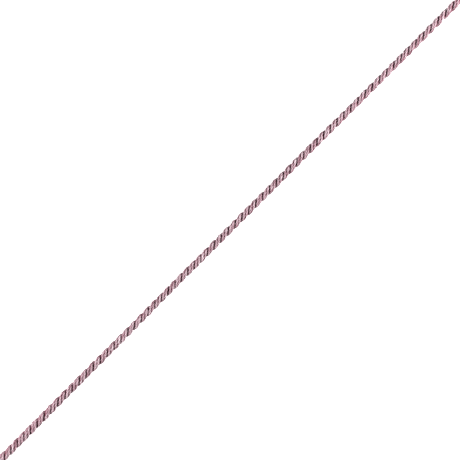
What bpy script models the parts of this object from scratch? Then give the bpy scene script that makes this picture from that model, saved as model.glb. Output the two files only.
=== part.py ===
# A twisted cord trim: two plies of silky yarn laid round each other into one cord, cut to length.
# It lies almost straight along X on the surface that it rests on, with a plain cut at each end.
# Units are metres and +Z is up. The origin is under the cord's middle, at the height of the surface.

import math
from collections import namedtuple

import bmesh
import bpy

# Driving dimensions
CORD_WIDTH = 0.0032  # over both plies, where they lie side by side
PLY_WIDTH = 0.0025  # across one ply, square to the line through both
REST_SQUASH = 0.00013  # how far each ply is pressed flat where it touches the surface
WELD_DISTANCE = 0.00001
SHARP_ANGLE = math.radians(60)  # a sharper edge than this, as at the cut ends, isn't shaded smooth

# The cord's section: each ply's outline runs from one groove to the other in even steps of angle
GROOVE_ANGLE = math.radians(150)  # on a ply's outline, from its outermost point to the groove
STEPS_A_PLY = 6
RINGS_A_TURN = 11

# The cord's lie. Its ends are the first and last rows. The columns are the place along the cord, how
# far it strays to the side, the turns of the twist counted from the first whole ply, and the girth
# as a share of the nominal size. Where turns is a whole or half number, a groove faces up.
Station = namedtuple("Station", "along aside turns girth")
STATIONS = (
    Station(-0.1500, -0.00004, -2.03, 1.07),
    Station(-0.1342, -0.00004, 0.00, 1.07),
    Station(-0.1147, -0.00004, 2.50, 1.06),
    Station(-0.0938, 0.00005, 5.00, 1.03),
    Station(-0.0730, 0.00003, 7.50, 1.02),
    Station(-0.0527, 0.00006, 10.00, 0.99),
    Station(-0.0326, 0.00016, 12.50, 0.97),
    Station(-0.0133, 0.00013, 15.00, 0.99),
    Station(0.0072, 0.00012, 17.50, 1.00),
    Station(0.0276, 0.00004, 20.00, 1.00),
    Station(0.0479, 0.00011, 22.50, 1.01),
    Station(0.0676, -0.00004, 25.00, 0.98),
    Station(0.0887, -0.00010, 27.50, 0.96),
    Station(0.1103, -0.00013, 30.00, 0.97),
    Station(0.1326, -0.00010, 32.50, 0.97),
    Station(0.1500, -0.00008, 34.45, 0.97),
)

YARN_COLOUR = (0.40, 0.26, 0.31, 1.0)  # dusty mauve
YARN_ROUGHNESS = 0.55


def slope(column, index):
    """How fast a column changes along the cord at a station, from its neighbours."""
    before = STATIONS[max(index - 1, 0)]
    after = STATIONS[min(index + 1, len(STATIONS) - 1)]
    return (getattr(after, column) - getattr(before, column)) / (after.along - before.along)


def read(column, along):
    """A column's value at any place along the cord, on a smooth curve through its stations."""
    last = len(STATIONS) - 2
    index = max(i for i in range(last + 1) if STATIONS[i].along <= along or i == 0)
    here, there = STATIONS[index], STATIONS[index + 1]
    gap = there.along - here.along
    t = (along - here.along) / gap
    return (
        getattr(here, column) * (2 * t**3 - 3 * t**2 + 1)
        + slope(column, index) * gap * (t**3 - 2 * t**2 + t)
        + getattr(there, column) * (3 * t**2 - 2 * t**3)
        + slope(column, index + 1) * gap * (t**3 - t**2)
    )


def section_outline():
    """The two plies side by side, as one closed outline round the cord's middle."""
    step = 2 * GROOVE_ANGLE / STEPS_A_PLY
    reach = 1 - math.cos(GROOVE_ANGLE)
    outline = []
    for side in (1, -1):
        for count in range(STEPS_A_PLY):
            angle = count * step - GROOVE_ANGLE
            across = CORD_WIDTH / 2 * (math.cos(angle) - math.cos(GROOVE_ANGLE)) / reach
            outline.append((side * across, side * PLY_WIDTH / 2 * math.sin(angle)))
    return outline


def make_section(collection):
    """The outline as a flat closed curve, to be swept along the cord."""
    curve = bpy.data.curves.new("cord_section", "CURVE")
    curve.dimensions = "2D"
    curve.fill_mode = "NONE"
    outline = section_outline()
    spline = curve.splines.new("POLY")
    spline.points.add(len(outline) - 1)
    spline.use_cyclic_u = True
    for point, (across, up) in zip(spline.points, outline):
        point.co = (across, up, 0, 1)
    section = bpy.data.objects.new("cord_section", curve)
    collection.objects.link(section)
    return section


def make_swept_cord(section, collection):
    """The section swept along the route and turned with the twist, as a curve object."""
    start, end = STATIONS[0], STATIONS[-1]
    rings = round((end.turns - start.turns) * RINGS_A_TURN)
    curve = bpy.data.curves.new("cord_sweep", "CURVE")
    curve.dimensions = "3D"
    curve.twist_mode = "Z_UP"
    curve.bevel_mode = "OBJECT"
    curve.bevel_object = section
    curve.use_fill_caps = True
    spline = curve.splines.new("POLY")
    spline.points.add(rings)
    for count, point in enumerate(spline.points):
        along = start.along + (end.along - start.along) * count / rings
        girth = read("girth", along)
        height = girth * CORD_WIDTH / 2 - REST_SQUASH
        point.co = (along, read("aside", along), height, 1)
        point.radius = girth
        point.tilt = -2 * math.pi * read("turns", along)  # a left-handed twist
    sweep = bpy.data.objects.new("cord_sweep", curve)
    collection.objects.link(sweep)
    return sweep


def mesh_from_sweep(sweep, name):
    """The swept curve as one closed mesh, with its end caps welded on."""
    graph = bpy.context.evaluated_depsgraph_get()
    mesh = bpy.data.meshes.new_from_object(sweep.evaluated_get(graph), depsgraph=graph)
    mesh.name = name
    body = bmesh.new()
    body.from_mesh(mesh)
    bmesh.ops.remove_doubles(body, verts=body.verts, dist=WELD_DISTANCE)
    body.to_mesh(mesh)
    body.free()
    return mesh


def press_flat(mesh):
    """Cuts the cord level at the surface, so that each ply has a small flat where it touches."""
    body = bmesh.new()
    body.from_mesh(mesh)
    bmesh.ops.triangulate(body, faces=body.faces, quad_method="SHORT_EDGE")
    cut = bmesh.ops.bisect_plane(
        body,
        geom=body.verts[:] + body.edges[:] + body.faces[:],
        plane_co=(0, 0, 0),
        plane_no=(0, 0, -1),
        clear_outer=True,
    )
    rims = [item for item in cut["geom_cut"] if isinstance(item, bmesh.types.BMEdge)]
    bmesh.ops.edgenet_fill(body, edges=rims)
    bmesh.ops.remove_doubles(body, verts=body.verts, dist=WELD_DISTANCE)
    bmesh.ops.recalc_face_normals(body, faces=body.faces)
    body.to_mesh(mesh)
    body.free()


def yarn_material():
    material = bpy.data.materials.new("cord_yarn")
    material.use_nodes = True
    shader = material.node_tree.nodes["Principled BSDF"]
    shader.inputs["Base Color"].default_value = YARN_COLOUR
    shader.inputs["Roughness"].default_value = YARN_ROUGHNESS
    shader.inputs["Metallic"].default_value = 0.0
    return material


def make_cord():
    parts = bpy.data.collections.new("twisted_cord_trim")
    guides = bpy.data.collections.new("guides")
    for collection in (parts, guides):
        bpy.context.scene.collection.children.link(collection)
    section = make_section(guides)
    sweep = make_swept_cord(section, guides)
    mesh = mesh_from_sweep(sweep, "twisted_cord")
    for guide in (sweep, section):
        bpy.data.objects.remove(guide, do_unlink=True)
    press_flat(mesh)
    mesh.shade_smooth()
    mesh.set_sharp_from_angle(angle=SHARP_ANGLE)
    mesh.materials.clear()
    mesh.materials.append(yarn_material())
    cord = bpy.data.objects.new("twisted_cord", mesh)
    parts.objects.link(cord)


for old in list(bpy.data.objects):
    bpy.data.objects.remove(old, do_unlink=True)
make_cord()
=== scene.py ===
# A twisted cord trim: a cut length of silky mauve cord, two plies of yarn laid round each other.
# Everything is in metres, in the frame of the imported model: the cord lies along X, with +Z up.
import math
import random
from collections import namedtuple

import bpy
import numpy as np
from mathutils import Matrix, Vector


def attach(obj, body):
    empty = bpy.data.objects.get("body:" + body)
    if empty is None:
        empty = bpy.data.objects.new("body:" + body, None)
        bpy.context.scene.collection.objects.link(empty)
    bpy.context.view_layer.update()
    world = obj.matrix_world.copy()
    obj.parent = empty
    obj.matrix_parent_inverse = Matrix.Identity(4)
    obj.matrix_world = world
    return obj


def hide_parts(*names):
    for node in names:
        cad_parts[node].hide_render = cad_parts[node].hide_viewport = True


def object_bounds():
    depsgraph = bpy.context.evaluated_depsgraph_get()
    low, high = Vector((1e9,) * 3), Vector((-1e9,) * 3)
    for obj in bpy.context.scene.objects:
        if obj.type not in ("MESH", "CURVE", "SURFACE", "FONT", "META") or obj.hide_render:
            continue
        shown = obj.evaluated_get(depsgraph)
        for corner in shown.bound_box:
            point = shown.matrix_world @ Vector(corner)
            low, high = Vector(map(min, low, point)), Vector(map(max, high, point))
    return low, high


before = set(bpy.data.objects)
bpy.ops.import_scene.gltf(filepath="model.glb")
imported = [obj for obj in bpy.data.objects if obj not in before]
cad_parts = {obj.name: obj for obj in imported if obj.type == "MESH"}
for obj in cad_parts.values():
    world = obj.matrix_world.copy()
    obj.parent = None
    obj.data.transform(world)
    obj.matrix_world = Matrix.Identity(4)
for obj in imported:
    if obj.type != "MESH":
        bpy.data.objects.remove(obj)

cad_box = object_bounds()


# The camera
# It looks straight down on the cord, turned so that the cord runs from the picture's lower left
# corner to its upper right one, with both ends just outside. A long lens keeps the width even.
VIEW_WIDTH = 0.1932
VIEW_TURN = math.radians(-45.07)
VIEW_MIDDLE = (-0.00015, -0.00013)
CAMERA_HEIGHT = 2.0
CAMERA_SENSOR = 36.0

camera_data = bpy.data.cameras.new("camera_above")
camera_data.sensor_width = CAMERA_SENSOR
camera_data.lens = CAMERA_SENSOR * (CAMERA_HEIGHT - cad_box[1].z / 2) / VIEW_WIDTH
camera = bpy.data.objects.new("camera_above", camera_data)
camera.location = (*VIEW_MIDDLE, CAMERA_HEIGHT)
camera.rotation_euler = (0, 0, VIEW_TURN)
bpy.context.scene.collection.objects.link(camera)
bpy.context.scene.camera = camera


# The plies
# The cord is two plies laid round each other with a left-handed twist. Each ply is a soft bundle of
# four fat rayon yarns, turned back a little against the cord's twist, and each yarn is four strands
# of fine silky filaments. Where a station's turns are whole or half, a groove faces up.
CORD_WIDTH = 0.0032
CORD_LENGTH = 0.300
REST_SQUASH = 0.00013
Station = namedtuple("Station", "along aside turns girth")
STATIONS = (
    Station(-0.1500, -0.00004, -2.03, 1.07),
    Station(-0.1342, -0.00004, 0.00, 1.07),
    Station(-0.1147, -0.00004, 2.50, 1.06),
    Station(-0.0938, 0.00005, 5.00, 1.03),
    Station(-0.0730, 0.00003, 7.50, 1.02),
    Station(-0.0527, 0.00006, 10.00, 0.99),
    Station(-0.0326, 0.00016, 12.50, 0.97),
    Station(-0.0133, 0.00013, 15.00, 0.99),
    Station(0.0072, 0.00012, 17.50, 1.00),
    Station(0.0276, 0.00004, 20.00, 1.00),
    Station(0.0479, 0.00011, 22.50, 1.01),
    Station(0.0676, -0.00004, 25.00, 0.98),
    Station(0.0887, -0.00010, 27.50, 0.96),
    Station(0.1103, -0.00013, 30.00, 0.97),
    Station(0.1326, -0.00010, 32.50, 0.97),
    Station(0.1500, -0.00008, 34.45, 0.97),
)
PLY_OUT = 0.00083  # from the cord's middle to a ply's
PLY_HALF_THICK = 0.00088
PLY_HALF_WIDE = 0.00134
YARNS_A_PLY = 4
YARN_WIDTH = 0.00102
PLY_BACK_TURN = 1 / 2  # turns of the yarns round their ply for each turn of the plies
FIRST_YARN = math.radians(90)  # where a ply's first yarn lies where a groove faces up
YARN_DRIFT = math.radians(-17)  # how much further round it lies at the right end than midway
YARN_WANDER = 0.12  # how far a yarn strays round its ply, in radians
WANDER_WAVES = (0.006, 0.03)  # the shortest and longest waves of that straying
YARN_BUNCHING = 0.05  # how far the yarns bunch towards the line through both plies, in radians
YARN_UNEVENNESS = 0.06  # of a yarn's thickness, and of how hard it is pressed into its ply
THICKNESS_WAVES = (0.003, 0.02)
PRESS_WAVES = (0.003, 0.015)
YARN_TURN = 0.0052  # along a yarn for one turn of its own twist
STRANDS_A_YARN = 4
STRAND_DEPTH = 0.20  # how deep the creases between strands are, as a share of the yarn's radius
STRAND_SWELL = 0.35  # how much a strand swells and thins along the yarn
SWELL_WAVES = (0.002, 0.008)
STRAND_SIDES = 5
YARN_RINGS = 1200  # about one for each 0.25 mm
CUT_UNEVENNESS = 0.0006  # how much shorter than the cord a yarn may be at each cut
TIP_RINGS = (0.0, 0.00005, 0.00016, 0.00034)  # from a yarn's cut end, where its tip rounds off
TIP_SPACE = 1.6  # from a yarn's cut end to its first even ring, as a share of its tip's length
TIP_BLUNTNESS = 0.03  # the share of its tip's length that is left off where it would be a point
END_SPREAD = 0.22  # how much the yarns open at the cut ends, as a share of the ply's size
END_REACH = 0.0018
GAP_SHADE_GAIN = 2.0  # how fast the painted shade between yarns deepens towards a ply's middle
CREASE_SHADE = 0.5  # the painted shade in the creases between strands
GROOVE_SHADE_FLOOR = 0.0005  # from the cord's middle, where the painted shade between the plies is deepest
GROOVE_SHADE_RIM = 0.00084
YARNS_APART = 0.7  # between two yarns' places in the noise of the material, so that they differ
SHADE_CORE_OUT = 0.00018  # from the cord's middle to that of a ply's dark core tube, painted wholly in shade
SHADE_CORE_WIDTH = 0.00078
SHADE_CORE_SHARE = 0.997  # of the cord's length, so that they end just inside the cuts
SHADE_CORE_SIDES = 6
SHADE_CORE_RINGS = 450
TABLE_SOFTNESS = 0.00002  # how gently a yarn flattens where it touches the table
DRIFT_WAVES = 5
YARN_CUTS = 5  # lengths that a yarn is divided into for its texture
TILE_MARGIN = 0.03


def read(column, along):
    """A column's values at places along the cord, on a smooth curve through its stations."""
    places = np.array([station.along for station in STATIONS])
    values = np.array([getattr(station, column) for station in STATIONS])
    before = np.maximum(np.arange(len(places)) - 1, 0)
    after = np.minimum(np.arange(len(places)) + 1, len(places) - 1)
    slopes = (values[after] - values[before]) / (places[after] - places[before])
    here = np.clip(np.searchsorted(places, along, side="right") - 1, 0, len(places) - 2)
    gap = places[here + 1] - places[here]
    t = (along - places[here]) / gap
    return (
        values[here] * (2 * t**3 - 3 * t**2 + 1)
        + slopes[here] * gap * (t**3 - 2 * t**2 + t)
        + values[here + 1] * (3 * t**2 - 2 * t**3)
        + slopes[here + 1] * gap * (t**3 - t**2)
    )


def cord_middle(along):
    """The cord's centreline at places along it, one row of x, y and z for each."""
    height = read("girth", along) * CORD_WIDTH / 2 - REST_SQUASH
    return np.stack([along, read("aside", along), height], axis=1)


def drift(rng, along, shortest, longest):
    """A smooth uneven wave along the cord, mostly between -1 and 1."""
    total = np.zeros_like(along)
    for count in range(DRIFT_WAVES):
        length = shortest * (longest / shortest) ** ((count + rng.random()) / DRIFT_WAVES)
        total += np.sin(2 * math.pi * (along / length + rng.random()))
    return total / 2


def unit(rows):
    return rows / np.linalg.norm(rows, axis=1, keepdims=True)


def facing(angle):
    """Directions square to the cord, turned from +Y towards +Z."""
    return np.stack([np.zeros_like(angle), np.cos(angle), np.sin(angle)], axis=1)


def tube_points(line, normal, reach, angle):
    """Rings of points round a line, each at its own reach and angle from the normal."""
    forward = unit(np.gradient(line, axis=0))
    normal = unit(normal - forward * np.sum(normal * forward, axis=1, keepdims=True))
    across = np.cross(forward, normal)
    return (
        line[:, None, :]
        + (reach * np.cos(angle))[..., None] * normal[:, None, :]
        + (reach * np.sin(angle))[..., None] * across[:, None, :]
    )


def yarn_strand(rng, ply, yarn):
    """One yarn of a ply: its rings of points, and what the material reads at each."""
    start = -CORD_LENGTH / 2 + CUT_UNEVENNESS * rng.random()
    end = CORD_LENGTH / 2 - CUT_UNEVENNESS * rng.random()
    tips = np.array(TIP_RINGS)
    space = TIP_SPACE * tips[-1]
    body = np.linspace(start + space, end - space, YARN_RINGS - 2 * len(tips))
    along = np.concatenate([start + tips, body, end - tips[::-1]])
    ply_angle = -2 * math.pi * read("turns", along) + math.pi * ply
    out, side = facing(ply_angle), facing(ply_angle + math.pi / 2)
    girth = read("girth", along)
    back = PLY_BACK_TURN * read("turns", along) + yarn / YARNS_A_PLY - ply / 2
    even = FIRST_YARN + YARN_DRIFT * along / (CORD_LENGTH / 2) + 2 * math.pi * back
    even = even + YARN_WANDER * drift(rng, along, *WANDER_WAVES)
    place = even - YARN_BUNCHING * np.sin(2 * even)
    open_end = END_SPREAD * np.exp(-np.minimum(along - start, end - along) / END_REACH)
    thick = 1 + YARN_UNEVENNESS * drift(rng, along, *THICKNESS_WAVES)
    press = 1 + YARN_UNEVENNESS * drift(rng, along, *PRESS_WAVES) + 2 * open_end
    reach_out = PLY_OUT + (PLY_HALF_THICK - YARN_WIDTH / 2) * press * np.cos(place)
    reach_side = (PLY_HALF_WIDE - YARN_WIDTH / 2) * press * np.sin(place)
    middle = cord_middle(along)
    line = middle + out * (girth * reach_out)[:, None] + side * (girth * reach_side)[:, None]
    from_end = np.minimum(along - start, end - along) / tips[-1]
    rounding = np.sqrt(1 - (1 - np.clip(from_end, TIP_BLUNTNESS, 1)) ** 2)
    radius = girth * YARN_WIDTH / 2 * thick * rounding * (1 + open_end / 2)

    sides = STRANDS_A_YARN * STRAND_SIDES
    turn = np.arange(sides) / sides * 2 * math.pi
    bulge = np.abs(np.sin(STRANDS_A_YARN * turn / 2))[None, :]
    swell = np.stack([drift(rng, along, *SWELL_WAVES) for _ in range(STRANDS_A_YARN)], axis=1)
    swell = 1 + STRAND_SWELL * np.repeat(swell, STRAND_SIDES, axis=1)
    reach = radius[:, None] * (1 - STRAND_DEPTH * (1 - bulge * swell))
    angle = 2 * math.pi * along[:, None] / YARN_TURN + turn[None, :]
    points = tube_points(line, facing(ply_angle + place), reach, angle)
    from_middle = points - middle[:, None, :]
    away = np.sum(from_middle * out[:, None, :], axis=2) / girth[:, None]
    beside = np.sum(from_middle * side[:, None, :], axis=2) / girth[:, None]
    # How deep a point lies inside its ply and in the cord, for the painted shade between the yarns
    # and between the plies.
    fullness = np.hypot((away - PLY_OUT) / PLY_HALF_THICK, beside / PLY_HALF_WIDE)
    # Painted shade between the plies, darkest near the cord's middle.
    groove_shade = (GROOVE_SHADE_RIM - np.hypot(away, beside)) / (GROOVE_SHADE_RIM - GROOVE_SHADE_FLOOR)
    height = points[..., 2]
    points[..., 2] = (height + np.sqrt(height**2 + TABLE_SOFTNESS**2)) / 2
    straight = np.stack(
        np.broadcast_arrays(
            along[:, None] + YARNS_APART * (ply * YARNS_A_PLY + yarn),
            YARN_WIDTH / 2 * np.cos(turn)[None, :],
            YARN_WIDTH / 2 * np.sin(turn)[None, :],
        ),
        axis=2,
    )
    return {
        "points": points,
        "yarn_place": straight,
        # gap is painted shade, darker towards a ply's middle between its yarns and in the creases
        # between strands; groove is painted shade between the plies.
        "gap": np.clip((1 - fullness) * GAP_SHADE_GAIN + CREASE_SHADE * (1 - bulge) ** 2, 0, 1),
        "groove": np.clip(groove_shade, 0, 1),
        "tone": np.full(points.shape[:2], rng.random()),
    }


def shade_core(ply):
    """A ply's dark core tube, painted wholly in shade, which closes the cord's middle so that no
    light gets through.
    """
    along = np.linspace(-SHADE_CORE_SHARE, SHADE_CORE_SHARE, SHADE_CORE_RINGS) * CORD_LENGTH / 2
    ply_angle = -2 * math.pi * read("turns", along) + math.pi * ply
    line = cord_middle(along) + facing(ply_angle) * SHADE_CORE_OUT
    turn = np.arange(SHADE_CORE_SIDES) / SHADE_CORE_SIDES * 2 * math.pi
    radius = SHADE_CORE_WIDTH / 2
    reach = np.full((SHADE_CORE_RINGS, SHADE_CORE_SIDES), radius)
    points = tube_points(line, facing(ply_angle), reach, turn[None, :])
    straight = np.broadcast_arrays(
        along[:, None],
        radius * np.cos(turn)[None, :],
        radius * np.sin(turn)[None, :],
    )
    return {
        "points": points,
        "yarn_place": np.stack(straight, axis=2),
        # The core is painted wholly in shade.
        "gap": np.ones(points.shape[:2]),
        "groove": np.ones(points.shape[:2]),
        "tone": np.zeros(points.shape[:2]),
    }


def mesh_of_tubes(name, tubes, cuts, columns, rows):
    """All the tubes in one mesh, with their values as attributes of its points.

    For its texture each tube is cut across into even lengths, and each length fills a tile."""
    points, faces, places, first = [], [], [], 0
    for tube, strand in enumerate(tubes):
        rings, sides = strand["points"].shape[:2]
        ring, side = np.meshgrid(np.arange(rings - 1), np.arange(sides), indexing="ij")
        corner = first + ring * sides + side
        beyond = first + ring * sides + (side + 1) % sides
        quads = np.stack([corner, beyond, beyond + sides, corner + sides], axis=2)
        faces.extend(quads.reshape(-1, 4).tolist())
        faces.append(list(range(first + sides - 1, first - 1, -1)))
        faces.append(list(range(first + (rings - 1) * sides, first + rings * sides)))

        a_cut = math.ceil((rings - 1) / cuts)
        tile = tube * cuts + ring // a_cut
        u = (ring % a_cut)[..., None] + np.array([0, 0, 1, 1])
        v = side[..., None] + np.array([0, 1, 1, 0])
        inner = 1 - 2 * TILE_MARGIN
        u = (tile % columns)[..., None] + TILE_MARGIN + inner * u / a_cut
        v = (tile // columns)[..., None] + TILE_MARGIN + inner * v / sides
        quad_places = np.stack([u / columns, v / rows], axis=3)
        places.append(quad_places.reshape(-1, 2))
        places.append(quad_places[0, ::-1, 0])
        places.append(quad_places[-1, :, 3])
        points.append(strand["points"].reshape(-1, 3))
        first += rings * sides
    mesh = bpy.data.meshes.new(name)
    mesh.from_pydata(np.concatenate(points).tolist(), [], faces)
    for key, kind, field in (
        ("yarn_place", "FLOAT_VECTOR", "vector"),
        ("gap", "FLOAT", "value"),
        ("groove", "FLOAT", "value"),
        ("tone", "FLOAT", "value"),
    ):
        layer = mesh.attributes.new(key, kind, "POINT")
        values = np.concatenate([strand[key].reshape(-1) for strand in tubes])
        layer.data.foreach_set(field, values.astype(np.float32))
    layout = mesh.uv_layers.new(name="OFBake")
    layout.data.foreach_set("uv", np.concatenate(places).reshape(-1).astype(np.float32))
    mesh.shade_smooth()
    return mesh


yarn_rng = random.Random(11)
plies = []
for ply in range(2):
    yarns = [yarn_strand(yarn_rng, ply, yarn) for yarn in range(YARNS_A_PLY)]
    # Each ply's mesh also holds its dark core tube, which stands in for the shade deep in the
    # cord's middle.
    yarns.append(shade_core(ply))
    name = ("first_ply", "second_ply")[ply]
    mesh = mesh_of_tubes(name, yarns, YARN_CUTS, 1, YARN_CUTS * len(yarns))
    plies.append(bpy.data.objects.new(name, mesh))
    bpy.context.scene.collection.objects.link(plies[-1])


# The deepest colour is painted shade only; the shaded one is both the colour of darker filaments
# and painted shade between the yarns.
DEEP_SHADE_COLOUR = (0.065, 0.001, 0.010, 1)
DARK_TONE_AND_SHADE_COLOUR = (0.180, 0.036, 0.068, 1)
YARN_COLOUR = (0.45, 0.293, 0.340, 1)
PALE_COLOUR = (0.78, 0.690, 0.728, 1)


def yarn_group():
    """The look of twisted silky filaments: fine streaks along the yarn, with painted shade in its
    gaps and in the groove between the plies.
    """
    group = bpy.data.node_groups.new("silky filaments", "ShaderNodeTree")
    face = group.interface
    face.new_socket("Place", in_out="INPUT", socket_type="NodeSocketVector")
    for label in ("GapShade", "GrooveShade", "Tone"):
        face.new_socket(label, in_out="INPUT", socket_type="NodeSocketFloat")
    for label, kind in (("Colour", "Color"), ("Roughness", "Float"), ("Height", "Float")):
        face.new_socket(label, in_out="OUTPUT", socket_type="NodeSocket" + kind)
    nodes, links = group.nodes, group.links
    inside, outside = nodes.new("NodeGroupInput"), nodes.new("NodeGroupOutput")

    def streaks(along, across, detail):
        """Noise with this many cells to the metre along a yarn and across it."""
        scaled = nodes.new("ShaderNodeVectorMath")
        scaled.operation = "MULTIPLY"
        scaled.inputs[1].default_value = (along, across, across)
        links.new(inside.outputs["Place"], scaled.inputs[0])
        noise = nodes.new("ShaderNodeTexNoise")
        noise.inputs["Scale"].default_value = 1.0
        noise.inputs["Detail"].default_value = detail
        links.new(scaled.outputs[0], noise.inputs["Vector"])
        return noise.outputs["Fac"]

    def mixed(factor, first, second):
        mix = nodes.new("ShaderNodeMix")
        mix.data_type = "RGBA"
        sockets = (mix.inputs["Factor"], mix.inputs[6], mix.inputs[7])
        for socket, value in zip(sockets, (factor, first, second)):
            if isinstance(value, bpy.types.NodeSocket):
                links.new(value, socket)
            else:
                socket.default_value = value
        return mix.outputs[2]

    def ranged(value, low, high, new_low, new_high):
        node = nodes.new("ShaderNodeMapRange")
        for socket, number in zip(node.inputs[1:5], (low, high, new_low, new_high)):
            socket.default_value = number
        links.new(value, node.inputs[0])
        return node.outputs[0]

    # Noise of four sizes: broad bands, fine bundles, single filaments and dull patches.
    broad = streaks(220, 4200, 2.0)
    fine = streaks(500, 17000, 2.0)
    single = streaks(600, 45000, 1.0)
    patches = streaks(400, 1500, 1.0)
    colour = mixed(ranged(broad, 0.35, 0.65, 0.0, 1.0), YARN_COLOUR, PALE_COLOUR)
    colour = mixed(ranged(fine, 0.5, 0.75, 0.0, 0.45), colour, DARK_TONE_AND_SHADE_COLOUR)
    colour = mixed(ranged(single, 0.30, 0.48, 0.40, 0.0), colour, PALE_COLOUR)
    colour = mixed(ranged(single, 0.52, 0.70, 0.0, 0.50), colour, DARK_TONE_AND_SHADE_COLOUR)
    colour = mixed(ranged(patches, 0.50, 0.70, 0.0, 0.55), colour, DARK_TONE_AND_SHADE_COLOUR)
    colour = mixed(ranged(inside.outputs["Tone"], 0, 1, 0.0, 0.25), colour, DARK_TONE_AND_SHADE_COLOUR)
    # Painted shade: darker between the yarns and in the creases between strands, and darkest in the
    # groove between the plies.
    colour = mixed(ranged(inside.outputs["GapShade"], 0.10, 0.60, 0.0, 0.95), colour, DARK_TONE_AND_SHADE_COLOUR)
    colour = mixed(ranged(inside.outputs["GapShade"], 0.45, 0.90, 0.0, 0.95), colour, DEEP_SHADE_COLOUR)
    colour = mixed(ranged(inside.outputs["GrooveShade"], 0.0, 0.7, 0.0, 1.0), colour, DEEP_SHADE_COLOUR)
    links.new(colour, outside.inputs["Colour"])
    links.new(ranged(fine, 0.3, 0.7, 0.42, 0.62), outside.inputs["Roughness"])
    ridges = nodes.new("ShaderNodeMath")
    ridges.operation = "ADD"
    links.new(ranged(fine, 0.2, 0.8, 0.0, 0.7), ridges.inputs[0])
    links.new(ranged(single, 0.7, 0.3, 0.0, 0.4), ridges.inputs[1])
    links.new(ridges.outputs[0], outside.inputs["Height"])
    return group


silky_filaments = yarn_group()


def silky_look(material):
    """The node that gives a material its filaments and painted shade, read from the attributes of
    the mesh.
    """
    nodes, links = material.node_tree.nodes, material.node_tree.links
    look = nodes.new("ShaderNodeGroup")
    look.node_tree = silky_filaments
    for label, name, output in (
        ("Place", "yarn_place", "Vector"),
        ("GapShade", "gap", "Fac"),
        ("GrooveShade", "groove", "Fac"),
        ("Tone", "tone", "Fac"),
    ):
        attribute = nodes.new("ShaderNodeAttribute")
        attribute.attribute_name = name
        links.new(attribute.outputs[output], look.inputs[label])
    return look


def yarn_material():
    material = bpy.data.materials.new("silky_yarn")
    material.use_nodes = True
    nodes, links = material.node_tree.nodes, material.node_tree.links
    shader = nodes["Principled BSDF"]
    shader.inputs["Specular IOR Level"].default_value = 0.2
    shader.inputs["Sheen Weight"].default_value = 0.04
    shader.inputs["Sheen Roughness"].default_value = 0.4
    shader.inputs["Sheen Tint"].default_value = (1.0, 0.80, 0.86, 1)
    look = silky_look(material)
    bump = nodes.new("ShaderNodeBump")
    bump.inputs["Strength"].default_value = 0.5
    bump.inputs["Distance"].default_value = 0.00003
    links.new(look.outputs["Height"], bump.inputs["Height"])
    links.new(look.outputs["Colour"], shader.inputs["Base Color"])
    links.new(look.outputs["Roughness"], shader.inputs["Roughness"])
    links.new(bump.outputs["Normal"], shader.inputs["Normal"])
    return material


silky_yarn = yarn_material()
for ply in plies:
    ply.data.materials.append(silky_yarn)
    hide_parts("twisted_cord")
    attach(ply, "root")


# The loose fibres
# Silk-like yarn is never quite smooth: single filaments work loose and stand off the plies in low
# loops or with one end free, and a short brush of them shows where the cord was cut.
FIBRE_WIDTH = 0.000024
FIBRE_SIDES = 3
FIBRE_RINGS = 9
LAY_OF_FIBRE = 0.55  # how far a fibre winds round the cord, as a share of the plies' own twist
FIBRE_SLANT = 0.3  # the most that one fibre's lay differs from another's, in radians
FIBRE_WAVE = 0.1  # how far a fibre waves to either side of its lay, in radians
LOW_LOOPS = 900
LOOP_LENGTHS = (0.0015, 0.0045)
LOOP_LIFTS = (0.00003, 0.00022)
FREE_ENDS = 380
FREE_LENGTHS = (0.001, 0.003)
FREE_LIFTS = (0.0002, 0.0011)
FREE_CURVE = 1.6  # how late a free end rises off the plies
CUT_FIBRES = 70  # at each end
CUT_RINGS = 4
CUT_ROOT = 0.0005  # from the cord's end to where a cut filament starts inside it
CUT_LENGTHS = (0.0007, 0.0016)
CUT_HALF_SPREAD = 1.1  # of the cut filaments round the cord, to either side of a ply, in radians
CUT_REACHES = (0.35, 1.0)  # from the cord's middle, as a share of the way to its surface
CUT_FLARE = 0.0004
ROUTE_POINTS = 151  # along the cord's middle, one for each 2 mm


def surface_reach(angle):
    """How far the cord's surface is from its middle, at angles from the line through both plies."""
    out, side = np.abs(np.cos(angle)), np.sin(angle)
    square = (out / PLY_HALF_THICK) ** 2 + (side / PLY_HALF_WIDE) ** 2
    linear = PLY_OUT * out / PLY_HALF_THICK**2
    rest = (PLY_OUT / PLY_HALF_THICK) ** 2 - 1
    return (linear + np.sqrt(linear**2 - square * rest)) / square


def fibre(along, angle, reach, tone):
    """One loose filament through places along the cord, at angles and a reach from its middle."""
    girth = read("girth", along)
    line = cord_middle(along) + facing(angle) * (girth * reach)[:, None]
    line[:, 2] = np.maximum(line[:, 2], FIBRE_WIDTH)
    turn = np.arange(FIBRE_SIDES) / FIBRE_SIDES * 2 * math.pi
    radius = np.full((len(along), FIBRE_SIDES), FIBRE_WIDTH / 2)
    points = tube_points(line, facing(angle), radius, turn[None, :])
    steps = np.linalg.norm(np.diff(line, axis=0), axis=1)
    length = np.concatenate([[0], np.cumsum(steps)])
    place = np.broadcast_arrays(length[:, None] + tone, FIBRE_WIDTH * np.cos(turn)[None, :], tone)
    return {
        "points": points,
        "yarn_place": np.stack(place, axis=2),
        "gap": np.zeros(points.shape[:2]),
        "groove": np.zeros(points.shape[:2]),
        "tone": np.full(points.shape[:2], tone),
    }


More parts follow.
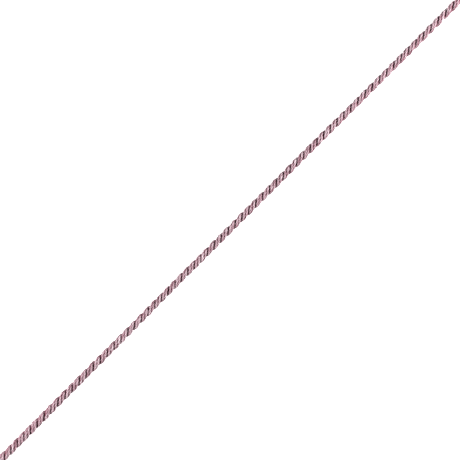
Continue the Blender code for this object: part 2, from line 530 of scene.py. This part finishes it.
def surface_fibre(rng, length, lift, free):
    """A filament that leaves the surface in a low loop, or stands off it with one end free."""
    share = np.linspace(0, 1, FIBRE_RINGS)
    along = rng.uniform(-CORD_LENGTH / 2, CORD_LENGTH / 2 - length) + length * share
    if rng.random() < 0.5:
        along = along[::-1]
    rise = share**FREE_CURVE if free else np.sin(math.pi * share)
    turned = -2 * math.pi * read("turns", along)
    slant = FIBRE_SLANT * (rng.random() - 0.5) * share
    wave = FIBRE_WAVE * np.sin(5 * share + 6 * rng.random())
    angle = rng.uniform(0, 2 * math.pi) + LAY_OF_FIBRE * turned + (slant + wave)
    reach = surface_reach(angle - turned) - FIBRE_WIDTH + lift * rise
    return fibre(along, angle, reach, rng.random())


def cut_fibre(rng, end):
    """A filament in the short brush at a cut end, -1 for the left end and 1 for the right one."""
    share = np.linspace(0, 1, CUT_RINGS)
    along = end * (CORD_LENGTH / 2 - CUT_ROOT + rng.uniform(*CUT_LENGTHS) * share)
    turned = -2 * math.pi * read("turns", along)
    angle = turned + rng.choice([0, math.pi]) + rng.uniform(-CUT_HALF_SPREAD, CUT_HALF_SPREAD)
    reach = surface_reach(angle - turned) * rng.uniform(*CUT_REACHES)
    reach = reach + rng.uniform(0, CUT_FLARE) * share
    return fibre(along, angle, reach, rng.random())


fibre_rng = random.Random(23)
fibres = []
for _ in range(LOW_LOOPS):
    length = fibre_rng.uniform(*LOOP_LENGTHS)
    lift = fibre_rng.uniform(*LOOP_LIFTS)
    fibres.append(surface_fibre(fibre_rng, length, lift, False))
for _ in range(FREE_ENDS):
    length = fibre_rng.uniform(*FREE_LENGTHS)
    lift = fibre_rng.uniform(*FREE_LIFTS)
    fibres.append(surface_fibre(fibre_rng, length, lift, True))
for end in (-1, 1):
    fibres += [cut_fibre(fibre_rng, end) for _ in range(CUT_FIBRES)]
tiles_across = math.ceil(math.sqrt(len(fibres)))
fuzz = bpy.data.objects.new(
    "loose_fibres", mesh_of_tubes("loose_fibres", fibres, 1, tiles_across, tiles_across)
)
bpy.context.scene.collection.objects.link(fuzz)


def fibre_material():
    material = bpy.data.materials.new("loose_filament")
    material.use_nodes = True
    shader = material.node_tree.nodes["Principled BSDF"]
    shader.inputs["Specular IOR Level"].default_value = 0.4
    look = silky_look(material)
    material.node_tree.links.new(look.outputs["Colour"], shader.inputs["Base Color"])
    material.node_tree.links.new(look.outputs["Roughness"], shader.inputs["Roughness"])
    return material


fuzz.data.materials.append(fibre_material())
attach(fuzz, "root")

route_along = np.linspace(-CORD_LENGTH / 2, CORD_LENGTH / 2, ROUTE_POINTS)
route = [tuple(point) for point in cord_middle(route_along)]


# The table and the light
# A plain white table under an even white studio light, with a softbox on either side of the cord.
TABLE_SIZE = 4.0
TABLE_COLOUR = (0.93, 0.93, 0.93, 1)
TABLE_GLOW = 0.75
SKY_GLOW = 0.12
BOX_ALONG = 0.375
BOX_ASIDE = 0.2125
BOX_HEIGHT = 0.25
BOX_SIZE = 0.15
LEFT_POWER = 3.4
RIGHT_POWER = 4.4

bpy.ops.mesh.primitive_plane_add(size=TABLE_SIZE, location=(0, 0, 0))
table = bpy.context.object
table.name = "table_top"
table_finish = bpy.data.materials.new("white_table")
table_finish.use_nodes = True
table_shader = table_finish.node_tree.nodes["Principled BSDF"]
table_shader.inputs["Base Color"].default_value = TABLE_COLOUR
table_shader.inputs["Roughness"].default_value = 0.9
table_shader.inputs["Specular IOR Level"].default_value = 0.1
table_shader.inputs["Emission Color"].default_value = (1, 1, 1, 1)
table_shader.inputs["Emission Strength"].default_value = TABLE_GLOW
table.data.materials.append(table_finish)

world = bpy.data.worlds.new("studio")
world.use_nodes = True
world.node_tree.nodes["Background"].inputs["Color"].default_value = (1, 1, 1, 1)
world.node_tree.nodes["Background"].inputs["Strength"].default_value = SKY_GLOW
bpy.context.scene.world = world


def softbox(name, place, power):
    """A square softbox that faces the middle of the cord."""
    data = bpy.data.lights.new(name, "AREA")
    data.size = BOX_SIZE
    data.energy = power
    light = bpy.data.objects.new(name, data)
    light.location = place
    distance = math.sqrt(sum(value**2 for value in place))
    light.rotation_euler = (
        math.acos(place[2] / distance),
        0,
        math.atan2(place[1], place[0]) + math.pi / 2,
    )
    bpy.context.scene.collection.objects.link(light)


softbox("softbox_left", (-BOX_ALONG, BOX_ASIDE, BOX_HEIGHT), LEFT_POWER)
softbox("softbox_right", (BOX_ALONG, -BOX_ASIDE, BOX_HEIGHT), RIGHT_POWER)

bpy.context.scene.view_settings.view_transform = "Standard"
